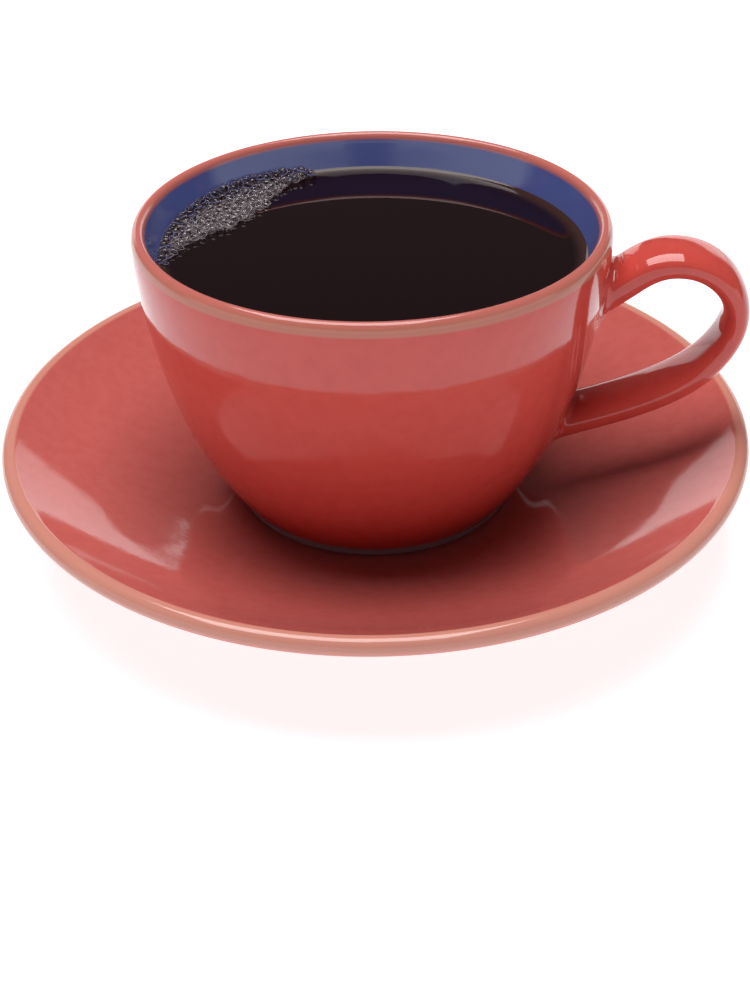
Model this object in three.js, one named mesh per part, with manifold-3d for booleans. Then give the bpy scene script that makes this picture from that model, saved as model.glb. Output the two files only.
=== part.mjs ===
import * as THREE from 'three';
import { NURBSCurve } from 'three/addons/curves/NURBSCurve.js';
import { mergeVertices } from 'three/addons/utils/BufferGeometryUtils.js';
import Module from 'manifold-3d';

const wasm = await Module();
wasm.setup();

// A filled stoneware coffee cup on its saucer. Millimetres, +Z up.
// The origin is the saucer's centre on the table, and the handle points along +X.

// Shared
const GAP = 0.3;
const TURN_STEPS = 64;

// Saucer: a flat well, a flare that steepens again towards its edge, and a rolled lip
const SAUCER_RADIUS = 84;
const WELL_HEIGHT = 6.2;
const FLARE_START = 40;
const FLARE_BLEND = 3;
const UPTURN_START = 62;
const UPTURN_BLEND = 2.5;
const UPTURN_BEND = 0.0185;
const LIP_ROLL = 2.05;
const LIP_CENTRE_Z = 23.4;
const LIP_CREASE_ANGLE = 0.75 * Math.PI;
const LIP_UNDER_ANGLE = -0.42 * Math.PI;
const SAUCER_THICKNESS = 4.2;
const SAUCER_FOOT_INNER = 38;
const SAUCER_FOOT_OUTER = 42.6;
const SAUCER_FOOT_SLANT = 0.8;
const SAUCER_UNDER_RADII = [48, 62, 72];
const SAUCER_FACE_RADII = [77, 73, 68.5, 63.5, 57, 44.5, 41, 38, 33];
const LIP_STEPS = 6;

// Cup body
const CUP_BASE_Z = WELL_HEIGHT + GAP;
const SHOULDER_Z = 68.8;
const SHOULDER_RADIUS = 50.75;
const BELLY_DROP = 60;
const WALL_LEAN = 12.3;
const WALL_LEAN_POWER = 1.54;
const BELLY_TUCK = 6.3;
const BELLY_TUCK_POWER = 4.4;
const WALL = 5.1;
const CUP_FLOOR_Z = 13.4;
const BOWL_TURN_Z = 34;
const BOWL_SQUARENESS = 2.5;
const CUP_FOOT_OUTER = 31.8;
const CUP_FOOT_INNER = 27.2;
const CUP_FOOT_HEIGHT = 2.3;
const CUP_FOOT_INNER_SLANT = 0.5;
const CUP_FOOT_EASE = 0.6;
const CUP_FOOT_CREASE = 0.3;
const OUTSIDE_HEIGHTS = [8.8, 11, 14, 18, 23, 29, 36, 44, 52, 60, SHOULDER_Z];
const BOWL_TURNS = [0, 0.2, 0.4, 0.55, 0.7, 0.85, 1];
const CUP_INSIDE_RISES = [0.35, 0.7, 1];

// Rim, from the outside over the crest to the inside: radius and height
const RIM = [
  [50.65, 70.7],
  [50.3, 71.9],
  [49.7, 72.55],
  [49, 72.8],
  [48.3, 72.55],
  [47.75, 71.8],
  [47.4, 70.4],
];

// Coffee
const COFFEE_LEVEL = 64.3;
const MENISCUS_RISE = 0.9;
const MENISCUS_WIDTH = 3.2;
const COFFEE_INSIDE_RISES = [0.5, 1];
const MENISCUS_SHARES = [0, 0.3, 0.6, 1];

// Handle: distance from the cup's axis, height, and strap thickness at each control point
const HANDLE_CONTROL = [
  [46.5, 52.5, 8.0],
  [55.7, 63.9, 7.3],
  [65.4, 66.6, 6.6],
  [74.1, 62.5, 6.1],
  [78.6, 55.1, 5.6],
  [76.8, 44.7, 5.6],
  [65.6, 33.2, 6.5],
  [42.0, 25.6, 6.4],
];
const HANDLE_KNOTS = [0, 0, 0, 0, 0.2, 0.4, 0.6, 0.8, 1, 1, 1, 1];
const HANDLE_DEGREE = 3;
const STRAP_WIDTH = 14.5;
const STRAP_SQUARENESS = 2.4;
const STRAP_SIDES = 24;
const STRAP_STEPS = 36;
const ROOT_START = 3.5;
const ROOT_SPREAD = 3.6;
const ROOT_SPREAD_BELOW = 3;
const ROOT_SINK = 1;
const FILLET_STEPS = 3;
const TOP_ROOT_AT = 0.075;
const BOTTOM_ROOT_AT = 0.975;
const HIT_SPAN = 40;
const HIT_HALVINGS = 40;

// Foam: a crescent of small bubbles along the wall, seen from above between two bearings
const FOAM_START = THREE.MathUtils.degToRad(115);
const FOAM_END = THREE.MathUtils.degToRad(194);
const FOAM_WIDEST = 12.5;
const FOAM_TIP = 2;
const FOAM_LEAN = 0.95;
const FOAM_HEIGHT = 2.2;
const FOAM_HEAP_LEAN = 0.55;
const BUBBLE_PITCH = 1.4;
const BUBBLE_RISE = 0.55;
const BUBBLE_LEAST = 0.6;
const BUBBLE_RANGE = 0.8;
const FOAM_SKIRT = 0.4;
const FOAM_SWELL = 1.6;
const FOAM_HEAP_FALL = 1.3;
const FOAM_SEED = 11;
const RANDOM_FACTOR = 16807;
const RANDOM_MODULUS = 2147483647;

const COLOURS = {
  red: 0xb1433c,
  coffee: 0x1f1315,
  foam: 0x9a8478,
};
const ROUGHNESS = { glaze: 0.15, coffee: 0.05, foam: 0.3 };

const wave = (value, power) => Math.sign(value) * Math.abs(value) ** power;

// Signed volume of a closed triangle mesh: positive when its faces point outwards.
function signedVolume(geometry) {
  const position = geometry.attributes.position;
  const corner = (k) => new THREE.Vector3().fromBufferAttribute(position, geometry.index.getX(k));
  let volume = 0;
  for (let k = 0; k < geometry.index.count; k += 3) {
    volume += corner(k).dot(corner(k + 1).cross(corner(k + 2))) / 6;
  }
  return volume;
}

// Bare closed body: only positions, shared vertices merged, faces pointing outwards.
function closedBody(geometry) {
  geometry.deleteAttribute('normal');
  geometry.deleteAttribute('uv');
  const merged = mergeVertices(geometry, 1e-4);
  if (signedVolume(merged) < 0) {
    const order = Array.from(merged.index.array);
    for (let k = 0; k < order.length; k += 3) {
      [order[k], order[k + 1]] = [order[k + 1], order[k]];
    }
    merged.setIndex(order);
  }
  return merged;
}

// Profile of [radius, height] points that starts and ends on the axis, turned about Z.
function turned(profile) {
  const points = profile.map(([radius, height]) => new THREE.Vector2(radius, height));
  const geometry = new THREE.LatheGeometry(points, TURN_STEPS, Math.PI / 2);
  geometry.rotateX(Math.PI / 2);
  return closedBody(geometry);
}

// Closed body from rings of equal length: quads between rings and a fan over each end.
function ringBody(rings) {
  const sides = rings[0].length;
  const positions = rings.flat().flatMap((p) => [p.x, p.y, p.z]);
  const faces = [];
  for (let ring = 0; ring + 1 < rings.length; ring += 1) {
    for (let side = 0; side < sides; side += 1) {
      const a = ring * sides + side;
      const b = ring * sides + (side + 1) % sides;
      faces.push(a, b, b + sides, a, b + sides, a + sides);
    }
  }
  [0, rings.length - 1].forEach((ring) => {
    const centre = new THREE.Vector3();
    rings[ring].forEach((p) => centre.add(p));
    centre.divideScalar(sides);
    const hub = positions.length / 3;
    positions.push(centre.x, centre.y, centre.z);
    for (let side = 0; side < sides; side += 1) {
      const a = ring * sides + side;
      const b = ring * sides + (side + 1) % sides;
      faces.push(...(ring === 0 ? [b, a, hub] : [a, b, hub]));
    }
  });
  const geometry = new THREE.BufferGeometry();
  geometry.setAttribute('position', new THREE.Float32BufferAttribute(positions, 3));
  geometry.setIndex(faces);
  return closedBody(geometry);
}

const toSolid = (geometry) => new wasm.Manifold(new wasm.Mesh({
  numProp: 3,
  vertProperties: new Float32Array(geometry.attributes.position.array),
  triVerts: new Uint32Array(geometry.index.array),
}));

function fromSolid(solid) {
  const mesh = solid.getMesh();
  const geometry = new THREE.BufferGeometry();
  geometry.setAttribute('position', new THREE.BufferAttribute(mesh.vertProperties, 3));
  geometry.setIndex(new THREE.BufferAttribute(mesh.triVerts, 1));
  return geometry;
}

// Distance beyond a start, eased in along a hyperbola: near 0 inside it, one to one outside it.
const beyond = (radius, start, blend) => {
  const out = radius - start;
  return (Math.hypot(out, blend) + out) / 2;
};
// Upper face of the saucer: a straight flare, and a parabola on top of it towards the edge.
const flareReach = (radius) => beyond(radius, FLARE_START, FLARE_BLEND);
const upturn = (radius) => UPTURN_BEND * beyond(radius, UPTURN_START, UPTURN_BLEND) ** 2 / 2;
const LIP_CENTRE_R = SAUCER_RADIUS - LIP_ROLL;
const CREASE_R = LIP_CENTRE_R + LIP_ROLL * Math.cos(LIP_CREASE_ANGLE);
const CREASE_Z = LIP_CENTRE_Z + LIP_ROLL * Math.sin(LIP_CREASE_ANGLE);
const FLARE_RISE = CREASE_Z - WELL_HEIGHT - upturn(CREASE_R);
const FLARE_SLOPE = FLARE_RISE / (flareReach(CREASE_R) - flareReach(0));
const saucerTop = (radius) => {
  return WELL_HEIGHT + FLARE_SLOPE * (flareReach(radius) - flareReach(0)) + upturn(radius);
};

function makeSaucer() {
  const footTop = WELL_HEIGHT - SAUCER_THICKNESS;
  const under = [0, footTop];
  const ring = [
    [SAUCER_FOOT_INNER - SAUCER_FOOT_SLANT, footTop],
    [SAUCER_FOOT_INNER, 0],
    [SAUCER_FOOT_OUTER, 0],
    [SAUCER_FOOT_OUTER + SAUCER_FOOT_SLANT, saucerTop(SAUCER_FOOT_OUTER) - SAUCER_THICKNESS],
  ];
  const belowFlare = SAUCER_UNDER_RADII.map((r) => [r, saucerTop(r) - SAUCER_THICKNESS]);
  const face = SAUCER_FACE_RADII.map((r) => [r, saucerTop(r)]);
  const lip = Array.from({ length: LIP_STEPS + 1 }, (_, k) => {
    const angle = LIP_UNDER_ANGLE + (LIP_CREASE_ANGLE - LIP_UNDER_ANGLE) * k / LIP_STEPS;
    return [LIP_CENTRE_R + LIP_ROLL * Math.cos(angle), LIP_CENTRE_Z + LIP_ROLL * Math.sin(angle)];
  });
  return turned([under, ...ring, ...belowFlare, ...lip, ...face, [0, saucerTop(0)]]);
}

// Outer radius of the cup's wall at a height: it leans in below the shoulder and tucks in lower down.
function wallRadius(z) {
  const down = Math.max(SHOULDER_Z - z, 0) / BELLY_DROP;
  return SHOULDER_RADIUS - WALL_LEAN * down ** WALL_LEAN_POWER - BELLY_TUCK * down ** BELLY_TUCK_POWER;
}

// Inside of the bowl, from its floor (turn 0) to where the wall runs straight up (turn 1).
function bowlPoint(turn, gap) {
  const angle = turn * Math.PI / 2;
  const depth = BOWL_TURN_Z - CUP_FLOOR_Z - gap;
  const z = BOWL_TURN_Z - depth * wave(Math.cos(angle), 2 / BOWL_SQUARENESS);
  const reach = wave(Math.sin(angle), 2 / BOWL_SQUARENESS);
  return [(wallRadius(z) - WALL - gap) * reach, z];
}

function bowlProfile(gap, topZ, rises) {
  const floor = BOWL_TURNS.map((turn) => bowlPoint(turn, gap));
  const wall = rises.map((rise) => {
    const z = BOWL_TURN_Z + (topZ - BOWL_TURN_Z) * rise;
    return [wallRadius(z) - WALL - gap, z];
  });
  return [...floor, ...wall];
}

function makeCupBody() {
  const footTop = CUP_BASE_Z + CUP_FOOT_HEIGHT;
  const foot = [
    [0, footTop],
    [CUP_FOOT_INNER - CUP_FOOT_INNER_SLANT, footTop],
    [CUP_FOOT_INNER, CUP_BASE_Z],
    [CUP_FOOT_OUTER - CUP_FOOT_EASE, CUP_BASE_Z],
    [CUP_FOOT_OUTER, CUP_BASE_Z + CUP_FOOT_EASE],
    [CUP_FOOT_OUTER, footTop - CUP_FOOT_CREASE],
  ];
  const outside = OUTSIDE_HEIGHTS.map((z) => [wallRadius(z), z]);
  const inside = bowlProfile(0, COFFEE_LEVEL, CUP_INSIDE_RISES).reverse();
  return turned([...foot, ...outside, ...RIM, ...inside]);
}

// Where a straight line from a point outside the cup meets its wall, by halving a span.
function hitWall(from, direction) {
  let low = 0;
  let high = HIT_SPAN;
  for (let k = 0; k < HIT_HALVINGS; k += 1) {
    const middle = (low + high) / 2;
    const p = from.clone().addScaledVector(direction, middle);
    if (Math.hypot(p.x, p.y) > wallRadius(p.z)) {
      low = middle;
    } else {
      high = middle;
    }
  }
  return from.clone().addScaledVector(direction, high);
}

// A point moved onto the cup's wall, then sunk below it by a depth.
function ontoWall(point, depth) {
  const scale = (wallRadius(point.z) - depth) / Math.hypot(point.x, point.y);
  return new THREE.Vector3(point.x * scale, point.y * scale, point.z);
}

function makeHandle() {
  const control = HANDLE_CONTROL.map(([out, z, thickness]) => new THREE.Vector4(out, thickness, z, 1));
  const path = new NURBSCurve(HANDLE_DEGREE, HANDLE_KNOTS, control);
  const section = (at) => {
    const centre = path.getPoint(at);
    const along = path.getTangent(at).setY(0).normalize();
    const across = new THREE.Vector3(-along.z, 0, along.x);
    return Array.from({ length: STRAP_SIDES }, (_, k) => {
      const angle = 2 * Math.PI * k / STRAP_SIDES;
      const lift = wave(Math.sin(angle), 2 / STRAP_SQUARENESS) * centre.y / 2;
      const side = wave(Math.cos(angle), 2 / STRAP_SQUARENESS) * STRAP_WIDTH / 2;
      return new THREE.Vector3(centre.x + across.x * lift, side, centre.z + across.z * lift);
    });
  };
  // Rings of the flare from the strap's section onto the wall, wider below, the last one sunk.
  const root = (at, inward) => {
    const ring = section(at);
    const direction = path.getTangent(at).setY(0).normalize().multiplyScalar(inward);
    const hits = ring.map((p) => hitWall(p, direction));
    const middle = new THREE.Vector3();
    hits.forEach((p) => middle.add(p));
    middle.divideScalar(hits.length);
    const spread = hits.map((hit) => {
      const away = hit.clone().sub(middle).normalize();
      const reach = ROOT_SPREAD + ROOT_SPREAD_BELOW * Math.max(-away.z, 0);
      return ontoWall(hit.clone().addScaledVector(away, reach), 0);
    });
    const flare = Array.from({ length: FILLET_STEPS + 1 }, (_, step) => {
      const u = step / FILLET_STEPS;
      return hits.map((hit, k) => {
        const start = hit.clone().addScaledVector(direction, -ROOT_START);
        return start.multiplyScalar((1 - u) ** 2)
          .addScaledVector(hit, 2 * u * (1 - u))
          .addScaledVector(spread[k], u ** 2);
      });
    });
    const sunk = spread.map((p) => ontoWall(p, ROOT_SINK));
    return [...flare, sunk];
  };
  const strap = Array.from({ length: STRAP_STEPS + 1 }, (_, k) => {
    return section(TOP_ROOT_AT + (BOTTOM_ROOT_AT - TOP_ROOT_AT) * k / STRAP_STEPS);
  });
  return ringBody([
    ...root(TOP_ROOT_AT, -1).reverse(),
    ...strap,
    ...root(BOTTOM_ROOT_AT, 1),
  ]);
}

function makeCup() {
  const body = toSolid(makeCupBody());
  const handle = toSolid(makeHandle());
  return fromSolid(body.add(handle));
}

// Height of the coffee's surface: flat, with a meniscus that climbs at the wall.
const COFFEE_RADIUS = wallRadius(COFFEE_LEVEL) - WALL - GAP;
function coffeeSurface(radius) {
  const near = Math.max(0, 1 - (COFFEE_RADIUS - radius) / MENISCUS_WIDTH);
  return COFFEE_LEVEL + MENISCUS_RISE * near ** 2;
}

function makeCoffee() {
  const body = bowlProfile(GAP, COFFEE_LEVEL, COFFEE_INSIDE_RISES);
  const surface = MENISCUS_SHARES.map((inward) => {
    const radius = COFFEE_RADIUS - MENISCUS_WIDTH * inward;
    return [radius, coffeeSurface(radius)];
  });
  return turned([...body, ...surface, [0, COFFEE_LEVEL]]);
}

// Repeatable random numbers from 0 to 1.
function randomFrom(seed) {
  let state = seed;
  return () => {
    state = (state * RANDOM_FACTOR) % RANDOM_MODULUS;
    return state / RANDOM_MODULUS;
  };
}

// Width of the foam across its crescent, from 0 at one tip to 1 at the other.
function foamWidth(along) {
  const swell = Math.max(Math.sin(Math.PI * along ** FOAM_LEAN), 0) ** FOAM_SWELL;
  return FOAM_TIP + (FOAM_WIDEST - FOAM_TIP) * swell;
}

// The foam's top is a triangular lattice. Every third vertex is a bubble's crown and the rest
// are the valleys between bubbles. It is deepest at the wall and thins towards the coffee, and
// it meets its plain underside along its edge.
function makeFoam() {
  const random = randomFrom(FOAM_SEED);
  const step = BUBBLE_PITCH / Math.sqrt(3);
  const columns = Math.round(COFFEE_RADIUS * (FOAM_END - FOAM_START) / step);
  const rows = Math.round(2 * FOAM_WIDEST / BUBBLE_PITCH);
  const outerFloor = coffeeSurface(COFFEE_RADIUS) + GAP;
  const positions = [];
  const at = (column, row) => row * (columns + 1) + column;
  for (let row = 0; row <= rows; row += 1) {
    for (let column = 0; column <= columns; column += 1) {
      const onEdge = row === 0 || row === rows || column === 0 || column === columns;
      const along = (column + (onEdge || row % 2 === 0 ? 0 : 0.5)) / columns;
      const inward = row / rows;
      const bearing = FOAM_START + (FOAM_END - FOAM_START) * along;
      const radius = COFFEE_RADIUS - foamWidth(along) * inward;
      const innerFloor = COFFEE_LEVEL + GAP;
      const floor = outerFloor + (innerFloor - outerFloor) * inward;
      const swell = Math.sin(Math.PI * along ** FOAM_HEAP_LEAN);
      const heap = FOAM_HEIGHT * swell * (1 - inward) ** FOAM_HEAP_FALL;
      const crown = (column + 2 * Math.floor(row / 2) + (row % 2)) % 3 === 0;
      const bubble = crown ? BUBBLE_RISE * (BUBBLE_LEAST + BUBBLE_RANGE * random()) : 0;
      const rise = onEdge ? 0 : FOAM_SKIRT + heap + bubble;
      positions.push(radius * Math.cos(bearing), radius * Math.sin(bearing), floor + rise);
    }
  }
  const faces = [];
  for (let row = 0; row < rows; row += 1) {
    for (let column = 0; column < columns; column += 1) {
      const [a, b] = [at(column, row), at(column + 1, row)];
      const [c, d] = [at(column, row + 1), at(column + 1, row + 1)];
      faces.push(...(row % 2 === 0 ? [a, b, c, b, d, c] : [a, b, d, a, d, c]));
    }
  }
  for (let column = 1; column < columns - 1; column += 1) {
    const [a, b] = [at(column, 0), at(column + 1, 0)];
    const [c, d] = [at(column, rows), at(column + 1, rows)];
    faces.push(a, c, b, b, c, d);
  }
  [[0, 1], [columns, columns - 1]].forEach(([tip, next]) => {
    const loop = [at(next, 0)];
    for (let row = 0; row <= rows; row += 1) {
      loop.push(at(tip, row));
    }
    loop.push(at(next, rows));
    for (let k = 1; k + 1 < loop.length; k += 1) {
      faces.push(...(tip === 0 ? [loop[0], loop[k], loop[k + 1]] : [loop[0], loop[k + 1], loop[k]]));
    }
  });
  const geometry = new THREE.BufferGeometry();
  geometry.setAttribute('position', new THREE.Float32BufferAttribute(positions, 3));
  geometry.setIndex(faces);
  return closedBody(geometry);
}

function piece(name, geometry, color, roughness) {
  const mesh = new THREE.Mesh(geometry, new THREE.MeshStandardMaterial({ color, roughness, metalness: 0 }));
  mesh.name = name;
  return mesh;
}

const group = new THREE.Group();
group.add(
  piece('saucer', makeSaucer(), COLOURS.red, ROUGHNESS.glaze),
  piece('cup', makeCup(), COLOURS.red, ROUGHNESS.glaze),
  piece('coffee', makeCoffee(), COLOURS.coffee, ROUGHNESS.coffee),
  piece('foam', makeFoam(), COLOURS.foam, ROUGHNESS.foam),
);

export default group;
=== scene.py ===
"""A red stoneware cup of black coffee on its saucer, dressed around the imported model.

Lengths in this file are millimetres until a mesh is made, and +X points along the cup's handle.
"""
import math

import bpy
import numpy as np
from mathutils import Matrix


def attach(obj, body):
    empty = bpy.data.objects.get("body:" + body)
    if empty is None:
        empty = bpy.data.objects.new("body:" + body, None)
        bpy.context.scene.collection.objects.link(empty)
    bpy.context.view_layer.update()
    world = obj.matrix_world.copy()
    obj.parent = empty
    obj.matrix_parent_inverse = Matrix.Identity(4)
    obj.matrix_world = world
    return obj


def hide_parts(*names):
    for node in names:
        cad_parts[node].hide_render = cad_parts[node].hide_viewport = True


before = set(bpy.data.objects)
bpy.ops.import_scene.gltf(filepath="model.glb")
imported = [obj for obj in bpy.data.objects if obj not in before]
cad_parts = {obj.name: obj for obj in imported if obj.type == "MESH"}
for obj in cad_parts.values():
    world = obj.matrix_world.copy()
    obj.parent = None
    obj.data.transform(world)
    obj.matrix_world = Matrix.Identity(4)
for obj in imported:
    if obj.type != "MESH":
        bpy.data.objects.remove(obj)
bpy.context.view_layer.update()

MM = 0.001
TINY = 1e-9

# Fineness: steps and turns along a profile, rows of points over it, and columns round the axis
FINE_STEP = 0.3
PROFILE_SPAN = 1.5
PROFILE_TURN = math.radians(4)
SAUCER_COLUMNS = 288
UNDER_ROWS = 24
LIP_ROWS = 40
FACE_ROWS = 160
CUP_COLUMNS = 256
WALL_ROWS = 120
BOWL_FLOOR_ROWS = 60
BOWL_WALL_ROWS = 40
SURFACE_ROWS = 160

# Saucer
SAUCER_RADIUS = 84.0
WELL_HEIGHT = 6.2
FLARE_START = 40.0
FLARE_BLEND = 3.0
UPTURN_START = 62.0
UPTURN_BLEND = 2.5
UPTURN_BEND = 0.0185
LIP_ROLL = 2.05
LIP_CENTRE_Z = 23.4
LIP_CREASE_TURN = 0.75
LIP_UNDER_TURN = -0.42
SAUCER_THICKNESS = 4.2
SAUCER_UNDER_STARTS = 43.4
SAUCER_UNDER_ENDS = 80.0
# Saucer's underside: radius and height of points from its centre over the foot ring
SAUCER_FOOT = np.array([
    [0.0, WELL_HEIGHT - SAUCER_THICKNESS],
    [37.2, WELL_HEIGHT - SAUCER_THICKNESS],
    [38.0, 0.4],
    [38.5, 0.0],
    [42.1, 0.0],
    [42.6, 0.4],
])

# Cup
SHOULDER_Z = 68.8
SHOULDER_RADIUS = 50.75
BELLY_DROP = 60.0
WALL_LEAN = 12.3
WALL_LEAN_POWER = 1.54
BELLY_TUCK = 6.3
BELLY_TUCK_POWER = 4.4
WALL = 5.1
CUP_FLOOR_Z = 13.4
BOWL_TURN_Z = 34.0
BOWL_SQUARENESS = 2.5
CUP_FOOT_TOP = 8.8
CUP_BASE_Z = WELL_HEIGHT + 0.1
# Cup's foot ring: radius and height of points from its centre to its outer top
CUP_FOOT = np.array([
    [0.0, CUP_FOOT_TOP],
    [26.7, CUP_FOOT_TOP],
    [27.2, CUP_BASE_Z + 0.4],
    [27.6, CUP_BASE_Z],
    [31.2, CUP_BASE_Z],
    [31.8, CUP_BASE_Z + 0.7],
    [31.8, CUP_FOOT_TOP - 0.35],
])
# Cup's rim: radius and height of points over its roll, ending on the inner wall
RIM = np.array([
    [50.65, 70.7],
    [50.3, 71.9],
    [49.7, 72.55],
    [49.0, 72.8],
    [48.3, 72.55],
    [47.75, 71.8],
    [47.4, 70.4],
])

# Handle: distance from the cup's axis, height and strap thickness at its path's control points
HANDLE_CONTROL = np.array([
    [46.5, 52.5, 8.0],
    [55.7, 63.9, 7.3],
    [65.4, 66.6, 6.6],
    [74.1, 62.5, 6.1],
    [78.6, 55.1, 5.6],
    [76.8, 44.7, 5.6],
    [65.6, 33.2, 6.5],
    [42.0, 25.6, 6.4],
])
STRAP_WIDTH = 14.5
STRAP_SQUARENESS = 2.4
ROOT_START = 3.5
ROOT_SPREAD = 3.6
ROOT_SPREAD_BELOW = 3.0
ROOT_TUCK = 0.6
ROOT_SINK = 0.5
TOP_ROOT_AT = 0.075
BOTTOM_ROOT_AT = 0.975
STRAP_ROWS = 180
STRAP_SIDES = 72
ROOT_ROWS = 14
A_HAIR = 1e-4
HALVINGS = 40
FAR_OUT = 40.0
FAR_FROM_CREST = -50.0

# Coffee
COFFEE_LEVEL = 64.3
MENISCUS_RISE = 1.0
MENISCUS_REACH = 1.5
INTO_WALL = 0.25

# Foam: a crescent along the wall between two bearings
FOAM_START = math.radians(115)
FOAM_END = math.radians(194)
FOAM_WIDEST = 12.5
FOAM_TIP = 2.0
FOAM_LEAN = 0.95
FOAM_SWELL = 1.6
RAGGED_SLOW = 0.06
SLOW_WAVES = 43
RAGGED_FAST = 0.05
FAST_WAVES = 101
FOAM_HEIGHT = 2.4
FOAM_HEAP_LEAN = 0.55
FOAM_FALL = 3.2
FOAM_SEED = 11
BUBBLE_TRIES = 40000
BUBBLE_LEAST = 0.24
BUBBLE_SPAN = 0.90
BUBBLE_RARITY = 4
BUBBLE_PRESS = 0.78
BUBBLE_LIFT = 0.4
BUBBLE_RISE = 0.5
BUBBLE_ROWS = 8
BUBBLE_SIDES = 10
BORDER_TUBE = 0.05
BORDER_GROWTH = 0.05
BORDER_REACH = 0.98
BORDER_TIP = 0.35
BORDER_POINTS = 14
BORDER_SIDES = 4
CORE_ROWS = 220
CORE_COLUMNS = 36
CORE_COVER = 1.03
CORE_INTO_WALL = 0.1
CORE_LIFT = 0.1
CORE_SHARE = 0.45
CORE_SINK = 0.3
CORE_EDGE_STEEP = 6
CORE_TIP_STEEP = 12
CORE_TIP_LEAST = 0.02
TONE_SCATTER = 0.6
TONE_STARTS = 1.2
TONE_ENDS = 4.2

# Camera, fitted to the circles of rim, saucer and foot
CAMERA_PLACE = (32.36, -286.30, 196.87)
CAMERA_BEARING = math.radians(6.5)
CAMERA_DIP = 0.6
CAMERA_ROLL = -0.016
CAMERA_FOCAL = 1461.9
PHOTO_HEIGHT = 1000.0
SENSOR = 36.0

# Studio: brightness where white paper is 1, directions as unit vectors with +Y where the camera looks
OVERHEAD_PLACE = (-0.10, 0.09, 0.80)
OVERHEAD_SIZE = (0.60, 0.62)
OVERHEAD_BRIGHTNESS = 6.9
BOARDS_TOP = 0.285
BOARDS_APART = 0.58
BOARDS_ASKEW = 0.12
BOARDS_STEP = 0.05
BOARDS_REACH = 0.80
BOARDS_BRIGHTNESS = 1.7
BOARDS_STEP_LOW = 0.17
BOARDS_STEP_HIGH = 0.19
FRONT_TOP = 0.25
FRONT_SOFT = 0.06
FRONT_BRIGHTNESS = 1.5
GAP_STARTS = -0.93
GAP_WHOLE = -0.97
STRIP_TOP = 0.20
STRIP_SOFT = 0.02
SOFT_EDGE = 0.015
SOFT_SIDE = 0.01
SOFT_TURN = 0.05
AMBIENT_BRIGHTNESS = 0.10
PAPER_GLOW = 0.82
PAPER_HALF = 4.0


# Shapes

def bend(value, power):
    """Signed power: keeps the sign and raises the size."""
    return np.sign(value) * np.abs(value) ** power


def smooth(value, low, high):
    """0 below low, 1 above high, and a smooth step between."""
    share = np.clip((value - low) / (high - low), 0, 1)
    return share * share * (3 - 2 * share)


def rounded(outline):
    """The [radius, height] outline at points a fine step apart, with its corners eased: three times
    every point is averaged with its neighbours."""
    steps = np.hypot(*np.diff(outline, axis=0).T)
    along = np.concatenate([[0], np.cumsum(steps)])
    wanted = np.linspace(0, along[-1], int(along[-1] / FINE_STEP))
    soft = np.stack([np.interp(wanted, along, outline[:, k]) for k in (0, 1)], -1)
    for _ in range(3):
        soft[1:-1] = (soft[:-2] + 2 * soft[1:-1] + soft[2:]) / 4
    return soft


def thinned(profile):
    """The outline resampled by a measure that grows by 1 for every span along it and for every
    turn of its direction, so that bends keep their points and straights lose theirs."""
    way = np.diff(profile, axis=0)
    length = np.hypot(*way.T)
    heading = np.unwrap(np.arctan2(way[:, 1], way[:, 0]))
    bends = np.concatenate([np.abs(np.diff(heading)), [0]])
    measure = np.concatenate([[0], np.cumsum(length / PROFILE_SPAN + bends / PROFILE_TURN)])
    wanted = np.linspace(0, measure[-1], int(measure[-1]) + 1)
    return np.stack([np.interp(wanted, measure, profile[:, k]) for k in (0, 1)], -1)


def turned(profile, columns):
    """Grid of points: the profile [radius, height] down the rows, turned about Z across the columns."""
    bearing = np.linspace(0, 2 * math.pi, columns, endpoint=False)
    radius, height = profile[:, 0:1], profile[:, 1:2]
    return np.stack([radius * np.cos(bearing), radius * np.sin(bearing), height + 0 * bearing], -1)


def ring_faces(rows, columns, first, pole_low, pole_high):
    """Quads between neighbouring rings that wrap round, and a fan to one point over each end ring."""
    index = first + np.arange(rows * columns).reshape(rows, columns)
    after = np.roll(index, -1, axis=1)
    quads = np.stack([index[:-1], after[:-1], after[1:], index[1:]], -1).reshape(-1, 4)
    low = np.stack([np.full(columns, pole_low), after[0], index[0]], -1)
    high = np.stack([np.full(columns, pole_high), index[-1], after[-1]], -1)
    return quads, np.concatenate([low, high])


def skin(name, shells, marks=None):
    """One mesh piece from closed shells, each a grid of rings [rows, columns, 3] in millimetres.

    Every shell is closed by a fan over its first and last ring, and is turned to face outwards
    where its signed volume comes out negative. marks holds one value per grid point and shell.
    """
    points, faces, values = [], [], {key: [] for key in (marks or {})}
    first = 0
    for number, rings in enumerate(shells):
        rows, columns = rings.shape[:2]
        poles = np.stack([rings[0].mean(0), rings[-1].mean(0)])
        count = rows * columns
        quads, fans = ring_faces(rows, columns, first, first + count, first + count + 1)
        solid = np.concatenate([rings.reshape(-1, 3), poles])
        local = quads - first
        a, b, c = solid[local[:, 0]], solid[local[:, 1]], solid[local[:, 2]]
        if np.einsum("ij,ij->", a, np.cross(b, c)) < 0:
            quads, fans = quads[:, ::-1], fans[:, ::-1]
        points.append(solid)
        faces += quads.tolist() + fans.tolist()
        for key, grids in (marks or {}).items():
            grid = np.broadcast_to(grids[number], (rows, columns))
            values[key].append(np.concatenate([grid.ravel(), [grid[0].mean(), grid[-1].mean()]]))
        first += count + 2
    mesh = bpy.data.meshes.new(name)
    mesh.from_pydata((np.concatenate(points) * MM).tolist(), [], faces)
    for key, parts in values.items():
        layer = mesh.attributes.new(key, "FLOAT", "POINT")
        layer.data.foreach_set("value", np.concatenate(parts).astype(np.float32))
    mesh.shade_smooth()
    mesh.validate()
    piece = bpy.data.objects.new(name, mesh)
    bpy.context.scene.collection.objects.link(piece)
    return piece


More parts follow.
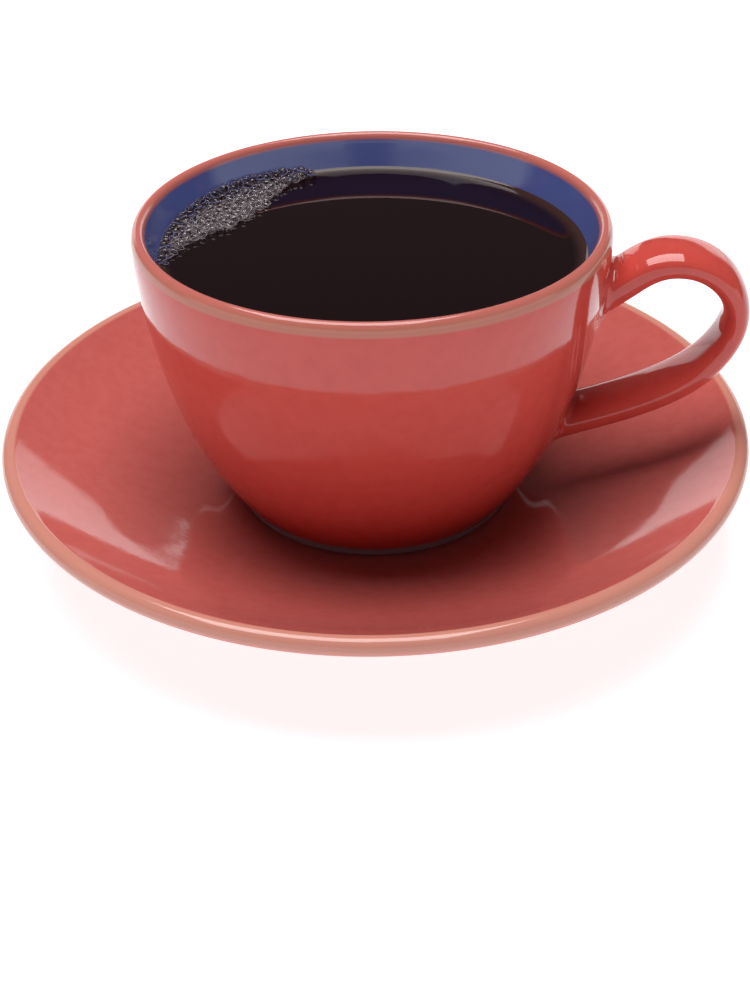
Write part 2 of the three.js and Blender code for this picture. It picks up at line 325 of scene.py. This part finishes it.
def beyond(radius, start, blend):
    """Distance beyond a start, eased in along a hyperbola: near 0 inside it, one to one outside."""
    out = radius - start
    return (np.hypot(out, blend) + out) / 2


def flare_reach(radius):
    """Reach of the straight flare at a radius, 0 on the axis."""
    return beyond(radius, FLARE_START, FLARE_BLEND) - beyond(0, FLARE_START, FLARE_BLEND)


def upturn(radius):
    """Height of the parabola that steepens the flare towards the saucer's edge."""
    return UPTURN_BEND * beyond(radius, UPTURN_START, UPTURN_BLEND) ** 2 / 2


def saucer_shape():
    """Saucer profile from the underside's centre round the lip to the well's centre, with the
    distance along the upper face from the lip's crease, which drives where the glaze thins."""
    lip_r = SAUCER_RADIUS - LIP_ROLL
    crease = np.array([
        lip_r + LIP_ROLL * math.cos(LIP_CREASE_TURN * math.pi),
        LIP_CENTRE_Z + LIP_ROLL * math.sin(LIP_CREASE_TURN * math.pi),
    ])
    slope = (crease[1] - WELL_HEIGHT - upturn(crease[0])) / flare_reach(crease[0])

    def face(radius):
        return WELL_HEIGHT + slope * flare_reach(radius) + upturn(radius)

    under_r = np.linspace(SAUCER_UNDER_STARTS, SAUCER_UNDER_ENDS, UNDER_ROWS)
    turn = np.linspace(LIP_UNDER_TURN, LIP_CREASE_TURN, LIP_ROWS) * math.pi
    upper_r = np.linspace(crease[0], 0, FACE_ROWS)
    outline = np.concatenate([
        SAUCER_FOOT,
        np.stack([under_r, face(under_r) - SAUCER_THICKNESS], -1),
        np.stack([lip_r + LIP_ROLL * np.cos(turn), LIP_CENTRE_Z + LIP_ROLL * np.sin(turn)], -1),
        np.stack([upper_r, face(upper_r)], -1)[1:],
    ])
    profile = thinned(rounded(outline))
    steps = np.concatenate([[0], np.cumsum(np.hypot(*np.diff(profile, axis=0).T))])
    nearest = np.argmin(np.hypot(*(profile - crease).T))
    return profile, steps - steps[nearest]


def make_saucer():
    """Saucer: the profile turned once about Z."""
    profile, from_crease = saucer_shape()
    grid = turned(profile[1:-1], SAUCER_COLUMNS)
    return skin("saucer_dish", [grid], {"from_crease": [from_crease[1:-1, None]]})


def wall_radius(z):
    """Outer radius of the cup: below the shoulder it leans in by one power of the drop and tucks in
    lower down by a higher power."""
    down = np.maximum(SHOULDER_Z - z, 0) / BELLY_DROP
    return SHOULDER_RADIUS - WALL_LEAN * down ** WALL_LEAN_POWER - BELLY_TUCK * down ** BELLY_TUCK_POWER


def bowl_inside(gap, top_z):
    """Inside of the bowl from its floor to a height: a superellipse floor that meets the wall."""
    angle = np.linspace(0, math.pi / 2, BOWL_FLOOR_ROWS)
    z = BOWL_TURN_Z - (BOWL_TURN_Z - CUP_FLOOR_Z - gap) * bend(np.cos(angle), 2 / BOWL_SQUARENESS)
    r = (wall_radius(z) - WALL - gap) * bend(np.sin(angle), 2 / BOWL_SQUARENESS)
    high = np.linspace(BOWL_TURN_Z, top_z, BOWL_WALL_ROWS)[1:]
    return np.concatenate([np.stack([r, z], -1), np.stack([wall_radius(high) - WALL - gap, high], -1)])


def cup_shape():
    """Cup profile from the foot's centre over the rim to the bowl's floor, with the distance from
    the rim's crest, negative outside, which drives the glazes."""
    heights = np.linspace(CUP_FOOT_TOP, SHOULDER_Z, WALL_ROWS)
    outline = np.concatenate([
        CUP_FOOT,
        np.stack([wall_radius(heights), heights], -1),
        RIM,
        bowl_inside(0, COFFEE_LEVEL)[::-1],
    ])
    profile = thinned(rounded(outline))
    steps = np.concatenate([[0], np.cumsum(np.hypot(*np.diff(profile, axis=0).T))])
    return profile, steps - steps[np.argmax(profile[:, 1])]


def spline(control, at):
    """Clamped uniform cubic B-spline at shares of its length, built up degree by degree from
    boxes between the knots (the Cox and de Boor sum)."""
    count = len(control)
    knots = np.concatenate([[0] * 3, np.linspace(0, 1, count - 2), [1] * 3])
    at = np.minimum(at, 1 - TINY)[:, None]
    basis = ((at >= knots[:-1]) & (at < knots[1:])).astype(float)
    for degree in (1, 2, 3):
        left, right = knots[:-degree - 1], knots[degree + 1:]
        rise = np.maximum(knots[degree:-1] - left, TINY)
        fall = np.maximum(right - knots[1:-degree], TINY)
        basis = basis[:, :-1] * (at - left) / rise + basis[:, 1:] * (right - at) / fall
    return basis @ control


def strap_rings(at, sides):
    """Sections of the strap at shares of its path: superellipses square to the path, which lies in
    the XZ plane. Also gives the path's direction at each."""
    out, z, thickness = spline(HANDLE_CONTROL, at).T
    way = (spline(HANDLE_CONTROL, at + A_HAIR) - spline(HANDLE_CONTROL, at - A_HAIR))[:, :2]
    way = way / np.linalg.norm(way, axis=1, keepdims=True)
    angle = np.linspace(0, 2 * math.pi, sides, endpoint=False)
    lift = bend(np.sin(angle), 2 / STRAP_SQUARENESS) * thickness[:, None] / 2
    side = bend(np.cos(angle), 2 / STRAP_SQUARENESS) * STRAP_WIDTH / 2 + 0 * lift
    rings = np.stack([out[:, None] - way[:, 1:] * lift, side, z[:, None] + way[:, :1] * lift], -1)
    return rings, np.stack([way[:, 0], 0 * out, way[:, 1]], -1)


def hit_wall(start, way):
    """Where straight lines from points outside the cup meet its wall, by halving."""
    low, high = np.zeros(len(start)), np.full(len(start), FAR_OUT)
    for _ in range(HALVINGS):
        middle = (low + high) / 2
        p = start + way * middle[:, None]
        outside = np.hypot(p[:, 0], p[:, 1]) > wall_radius(p[:, 2])
        low, high = np.where(outside, middle, low), np.where(outside, high, middle)
    return start + way * high[:, None]


def onto_wall(points, depth):
    """Points moved radially onto the cup's wall and then sunk below it."""
    scale = (wall_radius(points[:, 2]) - depth) / np.hypot(points[:, 0], points[:, 1])
    return np.stack([points[:, 0] * scale, points[:, 1] * scale, points[:, 2]], -1)


def root_rings(ring, way, steps):
    """Rings of the flare from the strap onto the wall, wider below: at each side a quadratic curve
    that leaves along the strap and arrives along the wall. The last ring is sunk into the wall."""
    hits = hit_wall(ring, way)
    away = hits - hits.mean(0)
    away = away / np.linalg.norm(away, axis=1, keepdims=True)
    reach = ROOT_SPREAD + ROOT_SPREAD_BELOW * np.maximum(-away[:, 2:], 0)
    foot = onto_wall(hits + away * reach, 0)
    start = hits - way * ROOT_START
    u = np.linspace(0, 1, steps)[:, None, None]
    flare = (1 - u) ** 2 * start + 2 * u * (1 - u) * hits + u ** 2 * foot
    return np.concatenate([flare, onto_wall(foot + away * ROOT_TUCK, ROOT_SINK)[None]])


def handle_rings():
    """The strap from root to root with a flare at each end."""
    at = np.linspace(TOP_ROOT_AT, BOTTOM_ROOT_AT, STRAP_ROWS)
    rings, ways = strap_rings(at, STRAP_SIDES)
    top = root_rings(rings[0], -ways[0], ROOT_ROWS)[::-1]
    bottom = root_rings(rings[-1], ways[-1], ROOT_ROWS)
    return np.concatenate([top, rings, bottom])


def make_cup():
    """Cup: the profile turned about Z, and the handle grown out of its wall."""
    profile, from_crest = cup_shape()
    body = turned(profile[1:-1], CUP_COLUMNS)
    handle = handle_rings()
    marks = {"from_crest": [from_crest[1:-1, None], FAR_FROM_CREST]}
    return skin("cup_body", [body, handle], marks)


def inside_radius(z):
    """Inner radius of the cup above the coffee: straight from the coffee's level to the rim."""
    low = wall_radius(COFFEE_LEVEL) - WALL
    return low + (z - COFFEE_LEVEL) * (RIM[-1, 0] - low) / (RIM[-1, 1] - COFFEE_LEVEL)


def coffee_height(radius):
    """Coffee surface: flat, rising at the wall by an exponential meniscus."""
    edge = inside_radius(COFFEE_LEVEL + MENISCUS_RISE)
    return COFFEE_LEVEL + MENISCUS_RISE * np.exp((radius - edge) / MENISCUS_REACH)


def make_coffee():
    """Coffee: the bowl's inside a little into its wall, closed by the surface with its meniscus."""
    edge = inside_radius(COFFEE_LEVEL + MENISCUS_RISE) + INTO_WALL
    body = bowl_inside(-INTO_WALL, COFFEE_LEVEL)
    reach = edge * (1 - np.linspace(0, 1, SURFACE_ROWS) ** 2)
    surface = np.stack([reach, coffee_height(reach)], -1)
    profile = np.concatenate([body, surface])
    return skin("coffee_fill", [turned(profile[1:-1], CUP_COLUMNS)])


# Foam

def foam_width(along):
    """Width across the crescent at a share of its length: a raised sine on the tip's width, its
    inner edge made ragged by two small sines."""
    swell = np.maximum(np.sin(math.pi * along ** FOAM_LEAN), 0) ** FOAM_SWELL
    ragged = 1 + RAGGED_SLOW * np.sin(along * SLOW_WAVES) + RAGGED_FAST * np.sin(along * FAST_WAVES + 1)
    return (FOAM_TIP + (FOAM_WIDEST - FOAM_TIP) * swell) * ragged


def foam_heap(along, off_wall):
    """Height of the foam over the coffee: a leaning sine along the wall that falls off as an
    exponential away from it."""
    return FOAM_HEIGHT * np.sin(math.pi * along ** FOAM_HEAP_LEAN) * np.exp(-off_wall / FOAM_FALL)


def on_foam(along, off_wall, rise):
    """Points over the coffee at a share of the crescent's length, a distance off the wall and a
    rise above the coffee."""
    bearing = FOAM_START + (FOAM_END - FOAM_START) * along
    radius = inside_radius(COFFEE_LEVEL + MENISCUS_RISE) - off_wall
    z = coffee_height(radius) + rise
    return np.stack([radius * np.cos(bearing), radius * np.sin(bearing), z], -1)


def pack_bubbles(rng):
    """Bubble centres, radii and distances off the wall: random places in the crescent, the largest
    first, kept where they press into the ones before them by no more than a little."""
    along = rng.random(BUBBLE_TRIES)
    inward = rng.random(BUBBLE_TRIES)
    lies_in = inward * FOAM_WIDEST < foam_width(along)
    along, off_wall = along[lies_in], inward[lies_in] * FOAM_WIDEST
    radius = np.sort(BUBBLE_LEAST + BUBBLE_SPAN * rng.random(len(along)) ** BUBBLE_RARITY)[::-1]
    off_wall = np.maximum(off_wall, radius)
    level = rng.random(len(along)) ** BUBBLE_RISE
    rise = foam_heap(along, off_wall) * level + radius * BUBBLE_LIFT
    centres = on_foam(along, off_wall, rise)
    kept = np.zeros(len(along), bool)
    for k, centre in enumerate(centres):
        room = np.linalg.norm(centres[kept] - centre, axis=1) - BUBBLE_PRESS * (radius[kept] + radius[k])
        kept[k] = room.min(initial=1) > 0
    return centres[kept], radius[kept], off_wall[kept]


def swarm(name, grids, loop, tones):
    """One mesh piece from many alike shells [shell, row, column, 3] in millimetres. Rows join up
    into a ring where loop is set, and otherwise a fan closes the first and the last row."""
    count, rows, columns = grids.shape[:3]
    index = np.arange(rows * columns).reshape(rows, columns)
    if loop:
        index = np.vstack([index, index[:1]])
    after = np.roll(index, -1, axis=1)
    quads = np.stack([index[:-1], index[1:], after[1:], after[:-1]], -1).reshape(-1, 4)
    points = grids.reshape(count, -1, 3)
    faces = [quads]
    if not loop:
        poles = np.stack([grids[:, 0].mean(1), grids[:, -1].mean(1)], 1)
        points = np.concatenate([points, poles], 1)
        low = np.stack([index[0], after[0], np.full(columns, rows * columns)], -1)
        high = np.stack([after[-1], index[-1], np.full(columns, rows * columns + 1)], -1)
        faces += [low, high]
    shift = np.arange(count)[:, None, None] * points.shape[1]
    every = [(block + shift).reshape(-1, block.shape[1]).tolist() for block in faces]
    mesh = bpy.data.meshes.new(name)
    mesh.from_pydata((points.reshape(-1, 3) * MM).tolist(), [], sum(every, []))
    layer = mesh.attributes.new("tone", "FLOAT", "POINT")
    layer.data.foreach_set("value", np.repeat(tones, points.shape[1]).astype(np.float32))
    mesh.shade_smooth()
    piece = bpy.data.objects.new(name, mesh)
    bpy.context.scene.collection.objects.link(piece)
    return piece


def make_films(centres, radius, tones):
    """Bubble films: balls of few faces, rings of latitude from the crown down."""
    tilt = np.linspace(0, math.pi, BUBBLE_ROWS)[1:-1, None]
    bearing = np.linspace(0, 2 * math.pi, BUBBLE_SIDES, endpoint=False)
    unit = np.stack([
        np.sin(tilt) * np.cos(bearing), np.sin(tilt) * np.sin(bearing), np.cos(tilt) + 0 * bearing,
    ], -1)
    return swarm("foam_films", centres[:, None, None] + unit * radius[:, None, None, None], False, tones)


def make_borders(rng, centres, radius, tones):
    """Liquid borders between bubbles: a thin torus round each bubble's waist, tipped at random."""
    lean = rng.standard_normal((len(centres), 3)) * BORDER_TIP + [0, 0, 1]
    lean /= np.linalg.norm(lean, axis=1, keepdims=True)
    side = np.cross(lean, [0, 1, 0])
    side /= np.linalg.norm(side, axis=1, keepdims=True)
    other = np.cross(lean, side)
    turn = np.linspace(0, 2 * math.pi, BORDER_POINTS, endpoint=False)[None, :, None, None]
    around = np.linspace(0, 2 * math.pi, BORDER_SIDES, endpoint=False)[None, None, :, None]
    tube = BORDER_TUBE + BORDER_GROWTH * radius[:, None, None, None]
    reach = radius[:, None, None, None] * BORDER_REACH + tube * np.cos(around)
    flat = np.cos(turn) * side[:, None, None] + np.sin(turn) * other[:, None, None]
    grids = centres[:, None, None] + reach * flat + tube * np.sin(around) * lean[:, None, None]
    return swarm("foam_borders", grids, True, tones)


def make_foam_core():
    """Wet raft under the bubbles: one shell from its top, a share of the heap's height, round the
    inner edge to a flat underside below the coffee's level, and closed at both tips."""
    along = np.linspace(0, 1, CORE_ROWS)[:, None]
    share = np.linspace(0, 1, CORE_COLUMNS)
    off_wall = -CORE_INTO_WALL + (foam_width(along) * CORE_COVER + CORE_INTO_WALL) * share
    tips = CORE_TIP_LEAST + along * (1 - along) * CORE_TIP_STEEP
    edge = np.minimum(1, np.minimum(1 - share, tips) * CORE_EDGE_STEEP)
    top = on_foam(along, off_wall, (CORE_LIFT + CORE_SHARE * foam_heap(along, off_wall)) * edge)
    under = top.copy()
    under[..., 2] = COFFEE_LEVEL - CORE_SINK
    rings = np.concatenate([top, under[:, ::-1]], axis=1)
    return skin("foam_core", [rings])


# Materials

def linear(code):
    """A colour written as sRGB hex, as linear RGBA."""
    parts = [int(code[k:k + 2], 16) / 255 for k in (1, 3, 5)]
    return [p / 12.92 if p <= 0.04045 else ((p + 0.055) / 1.055) ** 2.4 for p in parts] + [1.0]


def add(tree, kind, links=None, **settings):
    """One node with its settings, sockets given as {name: value or another node's output}."""
    node = tree.nodes.new(kind)
    for key, value in settings.items():
        setattr(node, key, value)
    for key, value in (links or {}).items():
        if isinstance(value, bpy.types.NodeSocket):
            tree.links.new(value, node.inputs[key])
        else:
            node.inputs[key].default_value = value
    return node


def blank(name):
    """An empty material with its output node."""
    material = bpy.data.materials.new(name)
    material.use_nodes = True
    material.node_tree.nodes.clear()
    return material, material.node_tree, add(material.node_tree, "ShaderNodeOutputMaterial")


def span(tree, value, low, high, to_low=0.0, to_high=1.0):
    """A value's range mapped smoothly onto another, clamped."""
    return add(tree, "ShaderNodeMapRange", {
        "Value": value, "From Min": low, "From Max": high, "To Min": to_low, "To Max": to_high,
    }, interpolation_type="SMOOTHSTEP").outputs["Result"]


def blend_colours(tree, share, first, second):
    """First colour where share is 0, second where it is 1."""
    node = add(tree, "ShaderNodeMix", data_type="RGBA")
    tree.links.new(share, node.inputs["Factor"])
    for socket, value in ((6, first), (7, second)):
        if isinstance(value, bpy.types.NodeSocket):
            tree.links.new(value, node.inputs[socket])
        else:
            node.inputs[socket].default_value = value
    return node.outputs[2]


def mottle(tree, place, size_mm, detail):
    """Noise whose patches are about size_mm across."""
    return add(tree, "ShaderNodeTexNoise", {
        "Vector": place, "Scale": 1 / (size_mm * MM), "Detail": detail, "Roughness": 0.55,
    }).outputs["Fac"]


def off_axis(tree, place):
    """Distance from the cup's axis, in metres."""
    flat = add(tree, "ShaderNodeVectorMath", {0: place, 1: (1, 1, 0)}, operation="MULTIPLY")
    return add(tree, "ShaderNodeVectorMath", {0: flat.outputs[0]}, operation="LENGTH").outputs["Value"]


def glaze_surface(tree, out, colour, place):
    """Dipped and fired glaze: a smooth glass skin (IOR 1.5) with a faint orange peel, so that
    reflections are sharp but their edges waver a little."""
    wave = mottle(tree, place, 9.0, 1.0)
    peel = mottle(tree, place, 1.1, 2.0)
    height = add(tree, "ShaderNodeMath", {0: wave, 1: 6.0, 2: peel}, operation="MULTIPLY_ADD")
    bump = add(tree, "ShaderNodeBump", {"Height": height.outputs[0], "Strength": 0.04, "Distance": 0.0002})
    shader = add(tree, "ShaderNodeBsdfPrincipled", {
        "Base Color": colour, "Roughness": 0.07, "IOR": 1.5, "Normal": bump.outputs["Normal"],
    })
    tree.links.new(shader.outputs[0], out.inputs["Surface"])


# Glaze colours
SAUCER_RED = linear("#C2615B")
SAUCER_RED_DEEP = linear("#BE5C56")
CUP_RED = linear("#C74B42")
CUP_RED_DEEP = linear("#C3473F")
LIP_SALMON = linear("#CC8878")
RIM_TAN = linear("#B96F5E")
RIM_PINK = linear("#BC675E")
BLUE = linear("#525C98")
SLATE = linear("#8C8088")

# Where a colour gives way to the next: mm from the saucer's crease, mm from the cup's crest
# (negative outside), metres above the table, and metres from the cup's axis
SALMON_ABOVE = (0.3, -0.5)
SALMON_BELOW = (-6.5, -4.5)
TAN_STARTS = (-3.6, -3.0)
PINK_STARTS = (-1.8, -0.6)
BLUE_STARTS = (1.7, 2.6)
SLATE_BELOW = (0.0090, 0.0086)
THIN_COFFEE = (0.0425, 0.0458)
# Between these radii the foam takes on its painted blue grey, a painted reflection of the blue wall
PAINTED_WALL_BLUE = (0.0440, 0.0462)


def red_body(tree, place, light, deep):
    """Iron-red glaze: two close reds in soft clouds a few millimetres across."""
    cloud = mottle(tree, place, 3.0, 4.0)
    return blend_colours(tree, span(tree, cloud, 0.35, 0.7), light, deep)


def saucer_glaze():
    """Red glazed stoneware, dipped: over the lip the glaze runs thin and the tan clay shows."""
    material, tree, out = blank("red_glazed_stoneware")
    place = add(tree, "ShaderNodeTexCoord").outputs["Object"]
    crease = add(tree, "ShaderNodeAttribute", attribute_name="from_crease").outputs["Fac"]
    body = red_body(tree, place, SAUCER_RED, SAUCER_RED_DEEP)
    thin = span(tree, crease, *SALMON_ABOVE)
    thick_under = span(tree, crease, *SALMON_BELOW)
    share = add(tree, "ShaderNodeMath", {0: thin, 1: thick_under}, operation="MULTIPLY")
    colour = blend_colours(tree, share.outputs[0], body, LIP_SALMON)
    glaze_surface(tree, out, colour, place)
    return material


def cup_glaze():
    """Two-glaze stoneware cup: red outside, cobalt blue inside from just under the rim, thinner and
    tan in a band under the crest, pink over it, and a dark slate foot ring."""
    material, tree, out = blank("two_glaze_stoneware")
    place = add(tree, "ShaderNodeTexCoord").outputs["Object"]
    height = add(tree, "ShaderNodeSeparateXYZ", {"Vector": place}).outputs["Z"]
    crest = add(tree, "ShaderNodeAttribute", attribute_name="from_crest").outputs["Fac"]
    body = red_body(tree, place, CUP_RED, CUP_RED_DEEP)
    banded = blend_colours(tree, span(tree, crest, *TAN_STARTS), body, RIM_TAN)
    rimmed = blend_colours(tree, span(tree, crest, *PINK_STARTS), banded, RIM_PINK)
    dyed = blend_colours(tree, span(tree, crest, *BLUE_STARTS), rimmed, BLUE)
    foot = span(tree, height, *SLATE_BELOW)
    colour = blend_colours(tree, foot, dyed, SLATE)
    glaze_surface(tree, out, colour, place)
    return material


def coffee_liquid():
    """Black coffee: a mirror-smooth liquid (IOR 1.33), nearly black, warm brown where it is thin
    against the wall."""
    material, tree, out = blank("black_coffee")
    place = add(tree, "ShaderNodeTexCoord").outputs["Object"]
    radius = off_axis(tree, place)
    thin = span(tree, radius, *THIN_COFFEE)
    colour = blend_colours(tree, thin, linear("#160608"), linear("#3A2420"))
    shader = add(tree, "ShaderNodeBsdfPrincipled", {"Base Color": colour, "Roughness": 0.02, "IOR": 1.33})
    tree.links.new(shader.outputs[0], out.inputs["Surface"])
    return material


def bubble_film():
    """Thin coffee film round air: clear face on, and a bright skin where it is met edge on."""
    material, tree, out = blank("coffee_bubble_film")
    tone = add(tree, "ShaderNodeAttribute", attribute_name="tone").outputs["Fac"]
    edge = add(tree, "ShaderNodeLayerWeight", {"Blend": 0.3}).outputs["Facing"]
    tint = blend_colours(tree, tone, linear("#E8DCD4"), linear("#FFFFFF"))
    clear = add(tree, "ShaderNodeBsdfTransparent", {"Color": tint})
    gloss = add(tree, "ShaderNodeBsdfGlossy", {"Color": tint, "Roughness": 0.08})
    share = span(tree, edge, 0.0, 1.0, 0.02, 0.36)
    mix = add(tree, "ShaderNodeMixShader", {0: share, 1: clear.outputs[0], 2: gloss.outputs[0]})
    tree.links.new(mix.outputs[0], out.inputs["Surface"])
    return material


def bubble_border():
    """Liquid held where bubble films meet: pale beige from scattered light, wet and glossy (IOR 1.33),
    and bluish grey near the wall, a painted reflection of the blue wall showing through the foam."""
    material, tree, out = blank("coffee_foam_borders")
    place = add(tree, "ShaderNodeTexCoord").outputs["Object"]
    tone = add(tree, "ShaderNodeAttribute", attribute_name="tone").outputs["Fac"]
    wet = mottle(tree, place, 0.8, 2.0)
    beige = blend_colours(tree, span(tree, wet, 0.3, 0.7), linear("#706266"), linear("#AA9CA0"))
    # Painted reflection: bubbles by the wall get bluish grey borders, standing for the blue wall seen
    # through the foam
    colour = blend_colours(tree, tone, linear("#7076A4"), beige)
    shader = add(tree, "ShaderNodeBsdfPrincipled", {"Base Color": colour, "Roughness": 0.22, "IOR": 1.33})
    tree.links.new(shader.outputs[0], out.inputs["Surface"])
    return material


def foam_raft():
    """Micro foam under the bubbles: cells about half a millimetre across with pale walls, dark
    coffee showing in each cell, and close to the wall painted blue grey, a painted reflection of the blue
    wall showing through."""
    material, tree, out = blank("wet_coffee_foam")
    place = add(tree, "ShaderNodeTexCoord").outputs["Object"]
    cells = add(tree, "ShaderNodeTexVoronoi", {
        "Vector": place, "Scale": 1 / (0.7 * MM),
    }, feature="DISTANCE_TO_EDGE").outputs["Distance"]
    radius = off_axis(tree, place)
    # Painted reflection: close to the wall the foam turns blue grey, standing for the blue wall seen
    # through it
    painted_wall_share = span(tree, radius, *PAINTED_WALL_BLUE)
    inner = blend_colours(tree, painted_wall_share, linear("#241A1E"), linear("#343A60"))
    walls = blend_colours(tree, painted_wall_share, linear("#6A5E62"), linear("#5A6090"))
    colour = blend_colours(tree, span(tree, cells, 0.02, 0.10), walls, inner)
    bump = add(tree, "ShaderNodeBump", {"Height": cells, "Strength": 0.6, "Distance": 0.0003})
    shader = add(tree, "ShaderNodeBsdfPrincipled", {
        "Base Color": colour, "Roughness": 0.15, "IOR": 1.33, "Normal": bump.outputs["Normal"],
    })
    tree.links.new(shader.outputs[0], out.inputs["Surface"])
    return material


def paper():
    """Matte white seamless paper, lit a little from below so that shadows on it stay pale."""
    material, tree, out = blank("white_seamless_paper")
    place = add(tree, "ShaderNodeTexCoord").outputs["Object"]
    colour = blend_colours(tree, mottle(tree, place, 40.0, 2.0), linear("#B4BAC2"), linear("#BAC0C8"))
    shader = add(tree, "ShaderNodeBsdfPrincipled", {
        "Base Color": colour, "Roughness": 0.9, "Emission Color": linear("#FFFFFF"),
        "Emission Strength": PAPER_GLOW,
    })
    tree.links.new(shader.outputs[0], out.inputs["Surface"])
    return material


# Stage

def make_floor():
    """A large flat sheet under everything, at the table's height."""
    mesh = bpy.data.meshes.new("floor")
    reach = PAPER_HALF
    corners = [(-reach, -reach, 0), (reach, -reach, 0), (reach, reach, 0), (-reach, reach, 0)]
    mesh.from_pydata(corners, [], [(0, 1, 2, 3)])
    floor = bpy.data.objects.new("floor", mesh)
    floor.data.materials.append(paper())
    bpy.context.scene.collection.objects.link(floor)


def make_camera():
    """Camera fitted to the photo: place, bearing, dip and roll as measured, no lens shift."""
    flat = np.array([-math.sin(CAMERA_BEARING), math.cos(CAMERA_BEARING), 0])
    ahead = flat * math.cos(CAMERA_DIP) - np.array([0, 0, math.sin(CAMERA_DIP)])
    right = np.array([math.cos(CAMERA_BEARING), math.sin(CAMERA_BEARING), 0])
    up = np.cross(right, ahead)
    turned_right = math.cos(CAMERA_ROLL) * right + math.sin(CAMERA_ROLL) * up
    turned_up = math.cos(CAMERA_ROLL) * up - math.sin(CAMERA_ROLL) * right
    data = bpy.data.cameras.new("camera")
    data.sensor_width = SENSOR
    data.lens = CAMERA_FOCAL * SENSOR / PHOTO_HEIGHT
    data.clip_start, data.clip_end = 0.01, 50.0
    camera = bpy.data.objects.new("camera", data)
    columns = np.stack([turned_right, turned_up, -ahead, np.array(CAMERA_PLACE) * MM], -1)
    camera.matrix_world = Matrix(np.vstack([columns, [0, 0, 0, 1]]).tolist())
    bpy.context.scene.collection.objects.link(camera)
    bpy.context.scene.camera = camera


def soft_box(name, place, size, brightness):
    """A rectangular soft light at a place in metres, facing straight down. Brightness is what the
    gloss shows: the light's power is that times pi and its area."""
    data = bpy.data.lights.new(name, "AREA")
    data.shape = "RECTANGLE"
    data.size, data.size_y = size
    data.energy = brightness * math.pi * size[0] * size[1]
    light = bpy.data.objects.new(name, data)
    light.location = place
    bpy.context.scene.collection.objects.link(light)


def maths(tree, operation, *values, **settings):
    """One maths node."""
    return add(tree, "ShaderNodeMath", dict(enumerate(values)), operation=operation, **settings).outputs[0]


def make_surroundings():
    """Studio round the table: two low white boards behind the cup whose inner edges lean apart, the
    right one with a step, a low pale wall in front with a dark gap above a low strip where the camera
    stands, and dim elsewhere. Gloss shows these shapes."""
    world = bpy.data.worlds.new("studio")
    world.use_nodes = True
    tree = world.node_tree
    tree.nodes.clear()
    sky = add(tree, "ShaderNodeTexCoord").outputs["Generated"]
    ahead = add(tree, "ShaderNodeVectorRotate", {
        "Vector": sky, "Angle": -CAMERA_BEARING,
    }, rotation_type="Z_AXIS").outputs["Vector"]
    axes = add(tree, "ShaderNodeSeparateXYZ", {"Vector": ahead}).outputs
    step = span(tree, axes["Z"], BOARDS_STEP_LOW, BOARDS_STEP_HIGH, 0.0, BOARDS_STEP)
    askew = maths(tree, "MULTIPLY", axes["Z"], maths(tree, "SUBTRACT", BOARDS_ASKEW, step))
    apart = maths(tree, "MULTIPLY", axes["Z"], maths(tree, "ADD", BOARDS_APART, step))
    across = maths(tree, "ABSOLUTE", maths(tree, "ADD", axes["X"], askew))
    outside = span(tree, maths(tree, "SUBTRACT", across, apart), -SOFT_SIDE, SOFT_SIDE)
    low = span(tree, axes["Z"], BOARDS_TOP + SOFT_EDGE, BOARDS_TOP - SOFT_EDGE)
    back = span(tree, axes["Y"], BOARDS_REACH - SOFT_TURN, BOARDS_REACH + SOFT_TURN)
    boards = maths(tree, "MULTIPLY", maths(tree, "MULTIPLY", low, back), outside)
    front_low = span(tree, axes["Z"], FRONT_TOP + FRONT_SOFT, FRONT_TOP - FRONT_SOFT)
    behind_camera = span(tree, axes["Y"], GAP_STARTS, GAP_WHOLE)
    above_strip = span(tree, axes["Z"], STRIP_TOP - STRIP_SOFT, STRIP_TOP + STRIP_SOFT)
    whole = maths(tree, "SUBTRACT", 1.0, maths(tree, "MULTIPLY", behind_camera, above_strip))
    front = maths(tree, "MULTIPLY", span(tree, axes["Y"], 2 * SOFT_TURN, -2 * SOFT_TURN), whole)
    wall = maths(tree, "MULTIPLY", front_low, front)
    lit = maths(tree, "MULTIPLY_ADD", boards, BOARDS_BRIGHTNESS, AMBIENT_BRIGHTNESS)
    total = maths(tree, "MULTIPLY_ADD", wall, FRONT_BRIGHTNESS, lit)
    light = add(tree, "ShaderNodeBackground", {"Strength": total})
    add(tree, "ShaderNodeOutputWorld", {"Surface": light.outputs[0]})
    bpy.context.scene.world = world


def dress(piece, material, node):
    """Gives a piece its material, sets it on the body and hides the imported part it stands for."""
    piece.data.materials.append(material)
    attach(piece, "root")
    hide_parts(node)


make_camera()
make_floor()
make_surroundings()
soft_box("overhead", OVERHEAD_PLACE, OVERHEAD_SIZE, OVERHEAD_BRIGHTNESS)
bpy.context.scene.view_settings.view_transform = "Standard"

dress(make_saucer(), saucer_glaze(), "saucer")
dress(make_cup(), cup_glaze(), "cup")
dress(make_coffee(), coffee_liquid(), "coffee")
chance = np.random.default_rng(FOAM_SEED)
centres, radii, off_wall = pack_bubbles(chance)
# Tones go from 0 by the wall, where the borders are painted bluish as the blue wall seen through the foam,
# to 1 away from it
scattered = off_wall + chance.normal(0, TONE_SCATTER, len(off_wall))
tones = smooth(scattered, TONE_STARTS, TONE_ENDS)
dress(make_foam_core(), foam_raft(), "foam")
dress(make_films(centres, radii, tones), bubble_film(), "foam")
dress(make_borders(chance, centres, radii, tones), bubble_border(), "foam")
